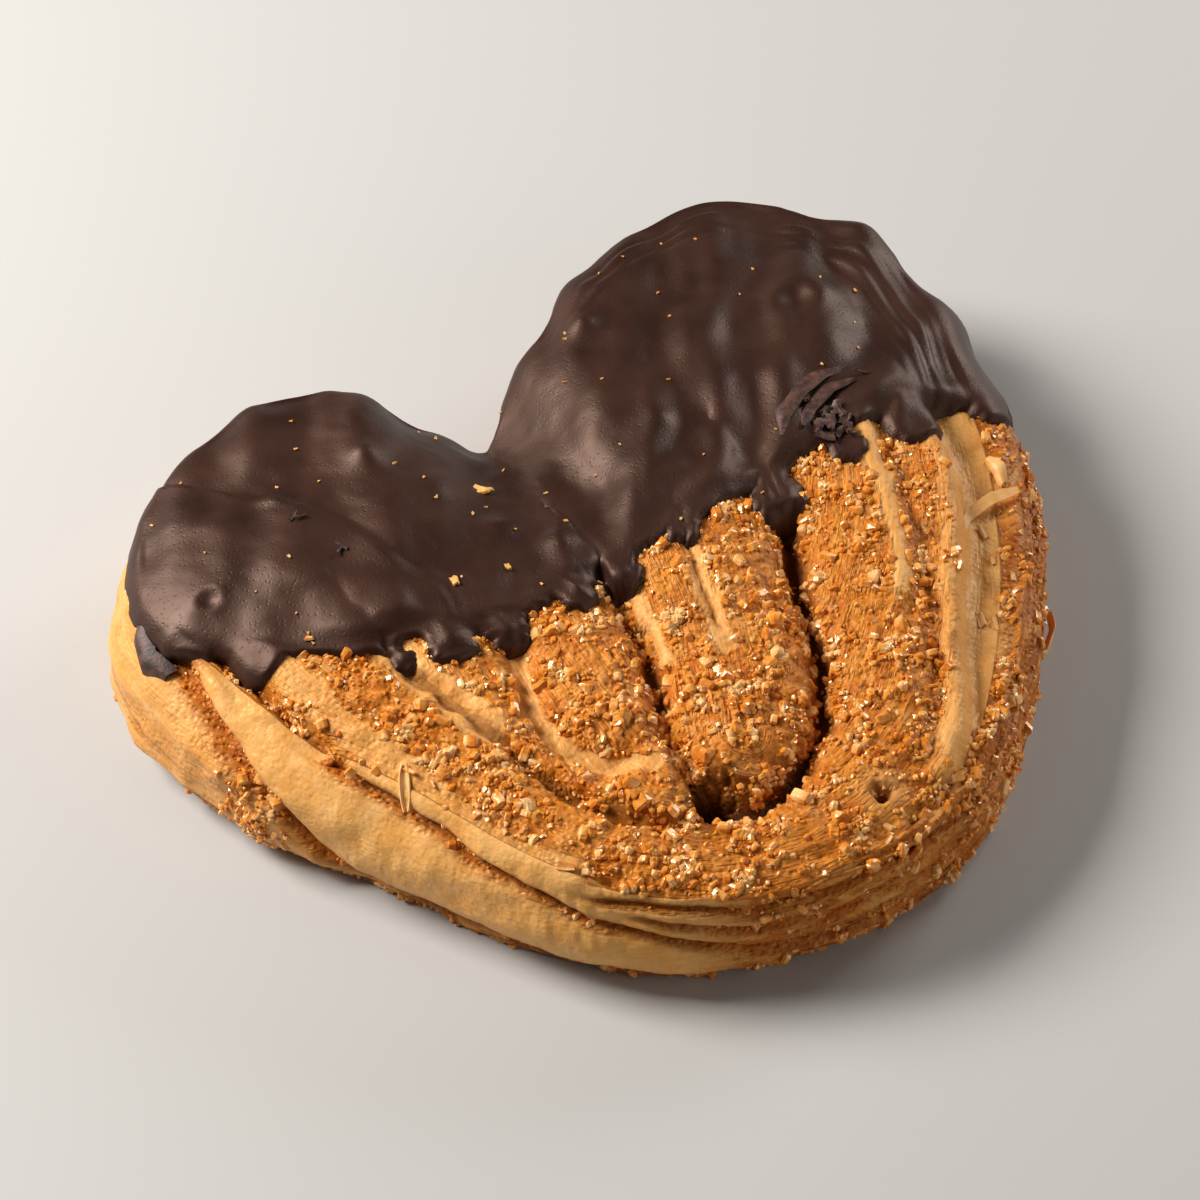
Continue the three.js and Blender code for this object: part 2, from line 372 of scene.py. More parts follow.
def grid_faces(columns, rings):
    """Quads of the grid, then a fan at each end. The two hub vertices follow the grid's own."""
    here = (np.arange(columns) * rings)[:, None] + np.arange(rings - 1)[None, :]
    following = ((np.arange(columns) + 1) % columns * rings)[:, None] + np.arange(rings - 1)[None, :]
    quads = np.stack([here, here + 1, following + 1, following], axis=-1).reshape(-1, 4)
    first = np.arange(columns) * rings
    after = (np.arange(columns) + 1) % columns * rings
    top = np.stack([np.full(columns, columns * rings), first, after], axis=-1)
    base = np.stack([np.full(columns, columns * rings + 1), after + rings - 1, first + rings - 1], axis=-1)
    return quads, np.vstack([top, base])


# ---------------------------------------------------------------- meshes
def mesh_object(name, points, face_arrays, smooth_shading=True, colours=None, layers=None):
    """A mesh object from plan millimetres. face_arrays hold faces of one size each."""
    mesh = bpy.data.meshes.new(name)
    vertices = (np.asarray(points, float) + PLAN_ORIGIN) * MM
    loops = np.concatenate([f.ravel() for f in face_arrays]).astype(np.int32)
    sizes = np.concatenate([np.full(len(f), f.shape[1], np.int32) for f in face_arrays])
    starts = np.concatenate([[0], np.cumsum(sizes)[:-1]]).astype(np.int32)
    mesh.vertices.add(len(vertices))
    mesh.vertices.foreach_set("co", vertices.ravel().astype(np.float32))
    mesh.loops.add(len(loops))
    mesh.loops.foreach_set("vertex_index", loops)
    mesh.polygons.add(len(sizes))
    mesh.polygons.foreach_set("loop_start", starts)
    mesh.update(calc_edges=True)
    mesh.polygons.foreach_set("use_smooth", np.full(len(sizes), smooth_shading))
    if colours is not None:
        layer = mesh.color_attributes.new("bake", "FLOAT_COLOR", "POINT")
        rgba = np.concatenate([colours, np.ones((len(colours), 1))], axis=1)
        layer.data.foreach_set("color", rgba.ravel().astype(np.float32))
    if layers is not None:
        layer = mesh.attributes.new("layers", "FLOAT_VECTOR", "POINT")
        layer.data.foreach_set("vector", (layers * MM).ravel().astype(np.float32))
    mesh.validate()
    piece = bpy.data.objects.new(name, mesh)
    bpy.context.scene.collection.objects.link(piece)
    return piece


# ---------------------------------------------------------------- materials
class Nodes:
    """Short calls for building a material's node tree."""

    def __init__(self, name):
        self.material = bpy.data.materials.new(name)
        self.material.use_nodes = True
        self.tree = self.material.node_tree
        self.shader = self.tree.nodes["Principled BSDF"]
        self.place = self.add("ShaderNodeTexCoord").outputs["Object"]

    def add(self, kind, **settings):
        node = self.tree.nodes.new(kind)
        for key, value in settings.items():
            setattr(node, key, value)
        return node

    def link(self, source, target):
        self.tree.links.new(source, target)

    def texture(self, kind, size_mm, stretch=(1, 1, 1), output=0, place=None, **inputs):
        spread = self.add("ShaderNodeMapping")
        spread.inputs["Scale"].default_value = [1000.0 / size_mm / s for s in stretch]
        self.link(place or self.place, spread.inputs["Vector"])
        node = self.add(kind)
        self.link(spread.outputs["Vector"], node.inputs["Vector"])
        node.inputs["Scale"].default_value = 1.0
        for key, value in inputs.items():
            node.inputs[key.replace("_", " ")].default_value = value
        return node.outputs[output]

    def noise(self, size_mm, detail, roughness=0.5, **settings):
        return self.texture("ShaderNodeTexNoise", size_mm, Detail=detail, Roughness=roughness, **settings)

    def rise(self, source, low, high, least=0.0, most=1.0):
        return self.ramp(source, [(low, least), (high, most)])

    def surface(self, **values):
        for key, value in values.items():
            self.shader.inputs[key.replace("_", " ")].default_value = value

    def ramp(self, source, stops):
        node = self.add("ShaderNodeValToRGB")
        elements = node.color_ramp.elements
        while len(elements) < len(stops):
            elements.new(0.5)
        for element, (position, colour) in zip(elements, stops):
            element.position = position
            element.color = (*colour, 1) if isinstance(colour, tuple) else (colour, colour, colour, 1)
        self.link(source, node.inputs["Fac"])
        return node.outputs["Color"]

    def times(self, a, b):
        node = self.add("ShaderNodeMath", operation="MULTIPLY", use_clamp=True)
        self.link(a, node.inputs[0])
        self.link(b, node.inputs[1])
        return node.outputs[0]

    def blend(self, share, a, b):
        node = self.add("ShaderNodeMix", data_type="RGBA")
        sockets = {s.identifier: s for s in node.inputs}
        for key, value in (("Factor_Float", share), ("A_Color", a), ("B_Color", b)):
            if isinstance(value, tuple):
                sockets[key].default_value = (*value, 1)
            else:
                self.link(value, sockets[key])
        return [s for s in node.outputs if s.identifier == "Result_Color"][0]

    def bump(self, height, distance_mm, strength=1.0, under=None):
        node = self.add("ShaderNodeBump")
        node.inputs["Distance"].default_value = distance_mm * MM
        node.inputs["Strength"].default_value = strength
        self.link(height, node.inputs["Height"])
        if under is not None:
            self.link(under, node.inputs["Normal"])
        return node.outputs["Normal"]

    def masks(self):
        """The three parts of the bake attribute."""
        node = self.add("ShaderNodeAttribute", attribute_name="bake")
        split = self.add("ShaderNodeSeparateColor")
        self.link(node.outputs["Color"], split.inputs["Color"])
        return split.outputs[0], split.outputs[1], split.outputs[2]


GOLD = (0.63, 0.225, 0.024)
AMBER = (0.47, 0.112, 0.006)
TAN = (0.70, 0.33, 0.080)
CREAM = (0.78, 0.43, 0.150)
STRAW = (0.62, 0.36, 0.10)
CARAMEL = (0.24, 0.045, 0.003)
PAINTED_SHADE_BROWN = (0.055, 0.008, 0.001)
DARK_CHOCOLATE = (0.016, 0.0043, 0.0022)
BLOOMED_CHOCOLATE = (0.030, 0.0098, 0.0054)
PIN_HOLE_SHADE = (0.014, 0.005, 0.003)


def pastry_material():
    """Baked dough, with streaks that follow the sheets, and patches and specks that break them up.

    The bake attribute holds browning, bare sheet and painted shade. The browning takes in painted shade in
    the recesses of the cut face; the shade darkens the deep grooves and the pits. The layers attribute runs
    across and along the sheets.
    """
    n = Nodes("baked_dough")
    brown, bare, dark = n.masks()
    layers = n.add("ShaderNodeAttribute", attribute_name="layers").outputs["Vector"]
    patches = n.noise(3.6, 3.0, 0.6)
    specks = n.noise(0.8, 4.0, 0.65)
    wide = n.noise(1.5, 3.0, 0.6, stretch=(1, 7, 1), place=layers)
    fine = n.noise(0.42, 2.0, 0.6, stretch=(1, 9, 1), place=layers)
    crust = n.blend(n.rise(wide, 0.36, 0.60), AMBER, GOLD)
    crust = n.blend(n.rise(patches, 0.47, 0.70, most=0.55), crust, TAN)
    crust = n.blend(n.rise(fine, 0.54, 0.70, most=0.4), crust, TAN)
    crust = n.blend(n.rise(specks, 0.50, 0.70, most=0.8), crust, AMBER)
    sheet = n.blend(n.rise(patches, 0.35, 0.7), TAN, CREAM)
    sheet = n.blend(n.rise(fine, 0.55, 0.75, most=0.35), sheet, GOLD)
    colour = n.blend(bare, crust, sheet)
    speckled = n.rise(specks, 0.3, 0.6, 0.5, 1.0)
    streaked = n.rise(wide, 0.42, 0.56, 0.3, 1.0)
    broken = n.times(speckled, streaked)
    colour = n.blend(n.times(brown, broken), colour, CARAMEL)
    # Painted shade: the shade channel darkens the deep grooves and the pits to a near black brown.
    colour = n.blend(dark, colour, PAINTED_SHADE_BROWN)
    n.link(colour, n.shader.inputs["Base Color"])
    n.link(n.rise(specks, 0.3, 0.7, 0.30, 0.54), n.shader.inputs["Roughness"])
    n.surface(
        Specular_IOR_Level=0.38,
        Specular_Tint=(1.0, 0.70, 0.36, 1),
        Subsurface_Weight=0.12,
        Subsurface_Radius=(1.0, 0.5, 0.2),
        Subsurface_Scale=0.0007,
    )
    coarse = n.rise(bare, 0.3, 0.9, 1.0, 0.22)
    pores = n.texture("ShaderNodeTexVoronoi", 0.75, Randomness=1.0)
    porous = n.times(n.rise(pores, 0.05, 0.55), coarse)
    sheets = n.times(fine, coarse)
    relief = n.bump(porous, 0.22, 0.8)
    relief = n.bump(sheets, 0.45, 0.9, relief)
    n.link(n.bump(specks, 0.16, 0.7, relief), n.shader.inputs["Normal"])
    return n.material


def chocolate_material():
    """Set dark chocolate: satin, with a fine speckle of pin holes darkened by painted shade, and a faint
    bloom.
    """
    n = Nodes("dark_chocolate")
    patches = n.noise(9.0, 3.0, 0.55)
    pins = n.texture("ShaderNodeTexVoronoi", 0.62, Randomness=1.0)
    pin_mask = n.rise(pins, 0.0, 0.34)
    colour = n.blend(n.rise(patches, 0.35, 0.7), DARK_CHOCOLATE, BLOOMED_CHOCOLATE)
    # Painted shade: the pin holes get a darker colour than the chocolate around them.
    colour = n.blend(pin_mask, PIN_HOLE_SHADE, colour)
    n.link(colour, n.shader.inputs["Base Color"])
    n.link(n.rise(patches, 0.3, 0.7, 0.44, 0.54), n.shader.inputs["Roughness"])
    n.surface(
        Specular_IOR_Level=0.46,
        Specular_Tint=(1.0, 0.65, 0.50, 1),
    )
    grain = n.noise(0.45, 3.0, 0.6)
    low = n.bump(grain, 0.035, 0.6)
    n.link(n.bump(pin_mask, 0.05, 0.6, low), n.shader.inputs["Normal"])
    return n.material


def snapped_chocolate_material():
    """Chocolate where it has snapped or curled: lighter and drier, in patches of two browns."""
    n = Nodes("snapped_chocolate")
    patches = n.noise(1.1, 3.0)
    colour = n.ramp(patches, [(0.42, (0.028, 0.009, 0.005)), (0.70, (0.100, 0.036, 0.019))])
    n.link(colour, n.shader.inputs["Base Color"])
    n.surface(Roughness=0.55)
    grain = n.noise(0.4, 3.0)
    n.link(n.bump(grain, 0.07, 0.8), n.shader.inputs["Normal"])
    return n.material


def sugar_material():
    """Sugar half melted into the crust: amber to peach, with bright faces."""
    n = Nodes("coarse_sugar")
    tint = n.noise(2.2, 2.0)
    stops = [(0.32, (0.56, 0.160, 0.012)), (0.50, (0.70, 0.27, 0.040)), (0.66, (0.86, 0.50, 0.20))]
    n.link(n.ramp(tint, stops), n.shader.inputs["Base Color"])
    n.surface(
        Subsurface_Weight=0.5,
        Subsurface_Radius=(1.0, 1.0, 1.0),
        Subsurface_Scale=0.0003,
        Roughness=0.2,
        Coat_Weight=0.3,
        Coat_Roughness=0.06,
        Specular_IOR_Level=0.45,
        Specular_Tint=(1.0, 0.80, 0.55, 1),
    )
    scratch = n.noise(0.3, 2.0)
    n.link(n.bump(scratch, 0.05, 0.6), n.shader.inputs["Normal"])
    return n.material


def finish_piece(piece, material, node_slot, *replaced):
    """Give a piece its material and body, and hide the CAD nodes it replaces. The node_slot argument is not
    used.
    """
    piece.data.materials.append(material)
    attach(piece, "root")
    if replaced:
        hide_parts(*replaced)
    return piece


# ---------------------------------------------------------------- the pastry
def strands(plan):
    """What the strands do at each plan point: height change, browning, bareness and painted shade."""
    height = np.zeros(plan.shape[:-1])
    brown = np.zeros_like(height)
    bare = np.zeros_like(height)
    shade = np.zeros_like(height)
    meander = 0.6 * fractal(np.dstack([plan, np.zeros_like(height)]), 3.6, 2, 2)
    cut = np.zeros_like(height)
    ragged = 0.3 * fractal(np.dstack([plan, np.zeros_like(height)]), 1.5, 2, 6)
    for points, width, depth, dark in FURROWS:
        distance, travel = along_curve(plan, points)
        distance = np.abs(distance + meander * min(1, width))
        profile = np.exp(-((distance / width) ** 2.4)) * (1 - smooth(travel.max() - 5, travel.max(), travel))
        shoulder = bell(distance, 3.2 * width)
        cut = np.maximum(cut, depth * (0.62 * profile + 0.38 * shoulder))
        brown = np.maximum(brown, dark * bell(distance, 1.25 * width))
        # Painted shade along the deep furrows, stronger where they are cut deeper.
        shade = np.maximum(shade, 0.8 * dark * smooth(1.8, 4.7, depth) * profile)
    for points, width, rise in RIDGES:
        distance = np.abs(along_curve(plan, points)[0] + 0.5 * meander)
        height = height + rise * bell(distance, width)
    for points, width, amount in SHEETS:
        distance = np.abs(along_curve(plan, points)[0] + meander)
        bare = np.maximum(bare, amount * smooth(width * 1.2, width * 0.75, distance + ragged))
    start, stop, step, sag = SHELF
    beyond, travel = along_curve(plan, RIGHT_RIDGE)
    narrowing = mix(1.0, 0.5, smooth(20, 48, travel))
    edge = smooth(start - 0.3, start + 0.8, beyond + 0.3 * meander)
    across = np.clip((beyond - start) / (stop * narrowing - start), 0, 1)
    sunk = step * edge + sag * edge * np.sin(np.pi * across**0.7) ** 1.5
    cut = np.maximum(cut, narrowing * sunk * (1 - smooth(46, 52, travel)))
    for x, y, radius, depth, dark in PITS:
        away = np.maximum(np.hypot(plan[..., 0] - x, plan[..., 1] - y) / radius + 0.9 * ragged, 0)
        pit = np.exp(-(away**2.5))
        cut = np.maximum(cut, depth * pit)
        # Painted shade in the pits.
        shade = np.maximum(shade, dark * pit**0.3)
        torn = (1 - dark) * np.exp(-((away / 3.4) ** 4))
        bare = np.maximum(bare, 1.1 * torn * (1 - pit))
        height = height + (0.5 + 2.2 * ragged) * torn * bell(away - 1.8, 0.7)
    return height - cut, brown, bare, shade


def layer_coordinates(plan, inward, angle):
    """How far across the stacked sheets a point is, and how far along them."""
    seam, _ = along_curve(plan, SEAM)
    right, _ = along_curve(plan, RIGHT_COIL)
    left, _ = along_curve(plan, LEFT_COIL)
    in_right = smooth(-0.8, 0.8, np.minimum(seam, -right))
    in_left = smooth(-0.8, 0.8, np.minimum(-seam, left))
    right_across, right_along = along_curve(plan, RIGHT_CORE)
    left_across, left_along = along_curve(plan, LEFT_CORE)
    across = mix(mix(inward, np.abs(right_across) + 40, in_right), np.abs(left_across) + 80, in_left)
    along = mix((angle - NOTCH_TURN) % (2 * np.pi) * 42.0, right_along, in_right)
    along = mix(along, left_along + 60, in_left)
    return across, along


def face_relief(face, across, along, bare):
    """The cut face: fibrous sheet edges, broken up, under a bed of sugar crust, and browning with painted
    shade in its recesses.
    """
    layers = np.stack([across, along, 0 * across], axis=-1)
    broken = fractal(layers, (2.4, 10.0, 1.0), 3, 3)
    fibres = 1 - np.abs(fractal(layers, (1.5, 8.0, 1.0), 3, 12))
    edges = sawtooth(across / 2.1 + 0.9 * broken)
    rough = 1 - 0.88 * bare
    crumb = 0.50 * (0.5 - grains(face, 2.3, 4)) + 0.40 * (0.5 - grains(face, 1.2, 1))
    crumb += 0.30 * fractal(face, 1.9, 4, 9)
    sheets = 0.6 * (fibres - 0.7) + 0.42 * (edges - 0.5)
    crusty = smooth(-0.35, 0.35, fractal(face, 7.0, 2, 14) + 0.1)
    lift = rough * mix(sheets, crumb, 0.2 + 0.65 * crusty)
    lift += bare * (0.14 * fractal(layers, (2.5, 7.0, 1.0), 3, 21) + 0.10 * fractal(face, 4, 2, 22))
    patches = np.maximum(0.45 * smooth(0.1, 0.8, broken), 0.7 * smooth(0.0, 0.5, fractal(face, 6.0, 3, 16)))
    # Painted shade: the browning is raised in the recesses of the relief, so they come out darker.
    painted_recess_shade = smooth(0.05, 0.55, -lift)
    return lift, np.maximum(patches, 0.75 * painted_recess_shade) * rough


def wall_relief(points, angle, drop):
    """The wall: a smooth blistered sheet at the left, a lip under it, and layer edges elsewhere."""
    turn = (angle - NOTCH_TURN) % (2 * np.pi)
    degrees = np.degrees(turn + NOTCH_TURN)
    z = points[..., 2]
    around = np.stack([turn * 45, z, 0 * z], -1)
    wander = 0.5 * noise(around, (7.0, 30.0, 1), 41)
    crease = np.interp(degrees, *np.array(CREASE, float).T)
    crack = np.interp(degrees, *np.array(CRACK, float).T)
    left = smooth(150, 165, degrees) * (1 - smooth(250, 268, degrees))
    swell = np.sin(np.pi * np.clip((z - crease) / np.maximum(crack - crease, 3), 0, 1)) * left
    lip = smooth(1.0, -1.5, z - crease) * (1 - smooth(182, 192, degrees))
    layered = np.clip(smooth(248, 275, degrees) + lip * 0.3, 0, 1)

    blisters = fractal(around, (9.0, 5.0, 1), 2, 31)
    wrinkles = 1 - np.abs(fractal(around, (2.6, 4.0, 1), 2, 33))
    strata = sawtooth(z / 1.7 + 0.8 * fractal(around, (16.0, 6.0, 1), 2, 37))
    creased = smooth(0.0, 0.6, noise(around, (13.0, 9.0, 1), 34))
    flank = bell(degrees - 165, 24) * smooth(1.0, 4.0, z) * smooth(15.0, 11.0, z)
    lift = 0.40 * blisters + 0.9 * swell + 1.7 * flank + lip * (0.7 + 0.5 * fractal(points, 5.0, 2, 43))
    lift += 0.30 * creased * (wrinkles - 0.6) + 0.07 * fractal(points, 1.3, 3, 35)
    lift += layered * 0.55 * (strata - 0.5)
    threads = smooth(-0.35, 0.05, fractal(around, (11.0, 1.4, 1), 3, 47))
    brown = np.maximum(0.95 * layered * threads, 0.75 * layered * smooth(0.6, 1.0, strata))
    brown = np.maximum(brown, 0.5 * lip * smooth(0.2, 0.7, fractal(points, 2.6, 2, 49)))
    for line, width, depth, browning in WALL_LINES:
        angles, heights = np.array(line, float).T
        ends = smooth(angles[0], angles[0] + 8, degrees) * (1 - smooth(angles[-1] - 8, angles[-1], degrees))
        gap = np.abs(z - np.interp(degrees, angles, heights) - wander)
        lift -= depth * bell(gap, width) * ends
        brown = np.maximum(brown, browning * bell(gap, 1.2 * width + 0.25) * ends)
    brown = np.maximum(brown, 0.9 * smooth(2.0, 0.6, z + 0.8 * blisters))
    worn = smooth(-0.4, 0.3, fractal(around, (9, 2.5, 1), 2, 45))
    bare = 1 - 0.9 * smooth(0.35, 0.8, brown) - layered * mix(0.35, 0.95, worn)
    return lift * smooth(0.0, 0.12, drop), brown, np.clip(bare, 0, 1), around


def pastry():
    """The whole crust as one mesh, with its relief, browning and layers. Returns what other pieces sit on."""
    grid = Grid(graded_angles(600, 170, 370, 0.3), 104, 50, 4)
    points, inward = body_points(grid)
    rings = points.shape[1]
    top = slice(0, grid.top)
    plan = points[:, top, :2]
    angle = np.broadcast_to(grid.angles, inward.shape)
    height, brown, bare, shade = strands(plan)
    across, along = layer_coordinates(plan, inward[:, top], angle[:, top])
    on_face = (height, brown, bare, shade, across, along)
    to_base = ((0, 0), (0, rings - grid.top))
    height, brown, bare, shade, across, along = (np.pad(value, to_base, mode="edge") for value in on_face)
    rim_blend = 1 - smooth(0.0, 0.25, grid.drop)
    points[..., 2] += height * np.where(grid.on_top, 1.0, rim_blend * (grid.drop > 0))

    normals = grid_normals(points)
    lift, wall_brown, wall_bare, around = wall_relief(points, angle, grid.drop)
    lift = lift * (1 - grid.under)
    covered = smooth(0.3, 2.0, dip_depth(points, grid.on_top))
    lift[:, top], face_brown_and_recess_shade = face_relief(points[:, top], across[:, top], along[:, top], bare[:, top])
    # The face's browning includes painted shade in the recesses of the relief.
    brown[:, top] = np.maximum(brown[:, top], face_brown_and_recess_shade)
    brown = np.where(grid.on_top, brown, wall_brown)
    bare = np.where(grid.on_top, bare, wall_bare)
    shade = np.where(grid.on_top, shade, 0.0)
    across = np.where(grid.on_top, across, around[..., 1] + 120)
    along = np.where(grid.on_top, along, around[..., 0])
    brown = np.where(grid.under > 0, 0.7, brown)

    lift = lift * (1 - 0.96 * covered) - COAT_BED * covered * ~grid.on_wall
    points = points + normals * lift[..., None]
    points[..., 2] = np.maximum(points[..., 2], 0.0)
    points[..., 2] = np.where(grid.under > 0, 0.0, points[..., 2])

    hubs = np.array([points[:, 0].mean(0), [HUB[0], HUB[1], 0]])
    colours = np.stack([brown, bare, shade], axis=-1).reshape(-1, 3)
    colours = np.vstack([np.clip(colours, 0, 1), [[0.2, 0.2, 0], [0.6, 0.3, 0]]])
    layers = np.stack([across, along, 0 * along], axis=-1).reshape(-1, 3)
    layers = np.vstack([layers, layers[:1], layers[-1:]])
    faces = grid_faces(points.shape[0], rings)
    vertices = np.vstack([points.reshape(-1, 3), hubs])
    piece = mesh_object("pastry_crust", vertices, faces, colours=colours, layers=layers)
    finish_piece(piece, pastry_material(), "pastry", "pastry")
    normals = grid_normals(points)
    return {"grid": grid, "points": points, "normals": normals, "brown": brown, "bare": bare, "shade": shade}


# ---------------------------------------------------------------- sugar, flakes
def random_turns(rng, count):
    """Random rotation matrices, evenly spread."""
    q = rng.normal(size=(count, 4))
    w, x, y, z = (q / np.linalg.norm(q, axis=1, keepdims=True)).T
    rows = [
        [1 - 2 * (y * y + z * z), 2 * (x * y - z * w), 2 * (x * z + y * w)],
        [2 * (x * y + z * w), 1 - 2 * (x * x + z * z), 2 * (y * z - x * w)],
        [2 * (x * z - y * w), 2 * (y * z + x * w), 1 - 2 * (x * x + y * y)],
    ]
    return np.moveaxis(np.array(rows), -1, 0)


def crystal_shape(bevel=0.2):
    """A unit block with bevelled edges: its vertices, quads and triangles."""
    corners = [(x, y, z) for x in (-1, 1) for y in (-1, 1) for z in (-1, 1)]
    vertices, number = [], {}
    for corner in corners:
        for axis in range(3):
            v = [0.5 * c * (1 - 2 * bevel) for c in corner]
            v[axis] = 0.5 * corner[axis]
            number[corner, axis] = len(vertices)
            vertices.append(v)
    vertices = np.array(vertices)
    faces = []
    for axis in range(3):
        u, w = (axis + 1) % 3, (axis + 2) % 3
        for side in (-1, 1):
            ring = []
            for du, dw in ((-1, -1), (1, -1), (1, 1), (-1, 1)):
                corner = [0, 0, 0]
                corner[axis], corner[u], corner[w] = side, du, dw
                ring.append(number[tuple(corner), axis])
            faces.append(ring)
            for other in (-1, 1):
                a, b = [0, 0, 0], [0, 0, 0]
                a[u] = b[u] = side
                a[w] = b[w] = other
                a[axis], b[axis] = -1, 1
                a, b = tuple(a), tuple(b)
                faces.append([number[a, u], number[b, u], number[b, w], number[a, w]])
    triangles = [[number[corner, axis] for axis in range(3)] for corner in corners]
    outward = []
    for face in faces + triangles:
        v = vertices[face]
        normal = np.cross(v[1] - v[0], v[2] - v[0])
        outward.append(face if normal @ v.mean(0) > 0 else face[::-1])
    return vertices, np.array(outward[: len(faces)]), np.array(outward[len(faces) :])


def surface_pick(rng, crust, weights, count):
    """Places on the pastry, as points and normals, chosen by weight and by area."""
    points = crust["points"]
    across = np.roll(points, -1, axis=0) - points
    area = np.linalg.norm(np.cross(across, np.gradient(points, axis=1)), axis=-1)
    chance = (np.maximum(weights, 0) * area).ravel()
    index = rng.choice(chance.size, size=count, replace=False, p=chance / chance.sum())
    return points.reshape(-1, 3)[index], crust["normals"].reshape(-1, 3)[index]


SUGAR_CLUMPS = [  # on the wall: angle round the hub and spread in degrees, and greatest height
    (321, 3.0, 9),
    (303, 2.0, 5),
    (3, 2.5, 14),
    (174, 3.0, 12),
    (284, 1.5, 4),
]


def block_shape():
    """A plain unit block: its vertices and quads."""
    vertices = np.array([(x, y, z) for x in (-0.5, 0.5) for y in (-0.5, 0.5) for z in (-0.5, 0.5)])
    quads = [[0, 1, 3, 2], [4, 6, 7, 5], [0, 4, 5, 1], [2, 3, 7, 6], [0, 2, 6, 4], [1, 5, 7, 3]]
    return vertices, np.array(quads)


def sugar_pieces(name, rng, places, normals, size, shape_parts):
    """Crystals of the given sizes, each with its own shape and turn, as one joined mesh."""
    vertices, *face_kinds = shape_parts
    count = len(size)
    sides = [rng.uniform(0.95, 1.4, count), rng.uniform(0.75, 1, count), rng.uniform(0.5, 0.9, count)]
    body = vertices[None] * (size[:, None] * np.stack(sides, -1))[:, None, :]
    body *= 1 + rng.uniform(-0.13, 0.13, (count, len(vertices), 1))
    body = np.einsum("nij,nvj->nvi", random_turns(rng, count), body)
    body += (places - normals * (0.10 * size)[:, None])[:, None, :]
    body[..., 2] = np.maximum(body[..., 2], 0.0)
    offsets = (np.arange(count) * len(vertices))[:, None, None]
    faces = [(kind[None] + offsets).reshape(-1, kind.shape[1]) for kind in face_kinds]
    piece = mesh_object(name, body.reshape(-1, 3), faces, smooth_shading=False)
    return finish_piece(piece, sugar_material(), "pastry")


COARSE_CRYSTALS = 4200
COARSE_SIZE = 0.78
FINE_CRYSTALS = 5200


def sugar(crust):
    """Coarse and fine crystals, in clusters over the open crust and on the browned parts of the wall."""
    rng = np.random.RandomState(11)
    grid, points, bare, brown = crust["grid"], crust["points"], crust["bare"], crust["brown"]
    clusters = smooth(-0.3, 0.6, fractal(points, 4.0, 2, 71)) ** 1.3 + 0.05
    open_crust = smooth(0.7, 0.2, bare) * smooth(0.78, 0.45, crust["shade"])
    face = grid.on_top * open_crust * clusters * (1 + 0.8 * smooth(0.4, 0.9, brown))
    height = points[..., 2]
    degrees = np.broadcast_to(np.degrees(grid.angles), height.shape)
    upper = 0.5 * smooth(8, 13, height) * smooth(250, 275, degrees)
    wall = ~grid.on_top * smooth(0.5, 0.9, brown) * (0.3 + 0.5 * smooth(4, 1, height) + upper) * clusters
    for clump, spread, top in SUGAR_CLUMPS:
        beside = bell(degrees - clump, spread) * (height < top) * (height > 1)
        wall = wall + 0.9 * ~grid.on_top * beside
    weights = (face + wall) * (dip_depth(points, grid.on_top) < 0.8) * (grid.under == 0)
    places, normals = surface_pick(rng, crust, weights, COARSE_CRYSTALS)
    size = np.clip(rng.lognormal(math.log(COARSE_SIZE), 0.36, len(places)), 0.42, 1.9)
    sugar_pieces("coarse_sugar", rng, places, normals, size, crystal_shape())
    weights = weights + 0.02 * grid.on_top * open_crust
    places, normals = surface_pick(rng, crust, weights, FINE_CRYSTALS)
    size = rng.uniform(0.22, 0.55, len(places))
    sugar_pieces("fine_sugar", rng, places, normals, size, block_shape())


def sheet_piece(name, sheets, material, slot_name):
    """Thin closed sheets joined into one mesh. Each sheet is a grid of points with a thickness."""
    vertices, faces, start = [], [], 0
    for points, thickness in sheets:
        rows, columns = points.shape[:2]
        normal = np.cross(np.gradient(points, axis=0), np.gradient(points, axis=1))
        normal /= np.maximum(np.linalg.norm(normal, axis=-1, keepdims=True), 1e-9)
        offset = normal * thickness / 2
        both = np.concatenate([points + offset, points - offset]).reshape(-1, 3)
        number = np.arange(rows * columns).reshape(rows, columns)
        a, b = number[:-1, :-1].ravel(), number[1:, :-1].ravel()
        c, d = number[1:, 1:].ravel(), number[:-1, 1:].ravel()
        upper = np.stack([a, b, c, d], 1)
        lower = upper[:, ::-1] + rows * columns
        rim = np.concatenate([number[:-1, 0], number[-1, :-1], number[:0:-1, -1], number[0, :0:-1]])
        after = np.roll(rim, -1)
        sides = np.stack([after, rim, rim + rows * columns, after + rows * columns], 1)
        vertices.append(both)
        faces.append(np.vstack([upper, lower, sides]) + start)
        start += len(both)
    piece = mesh_object(name, np.vstack(vertices), [np.vstack(faces)])
    piece.data.set_sharp_from_angle(angle=math.radians(50))
    return finish_piece(piece, material, slot_name)


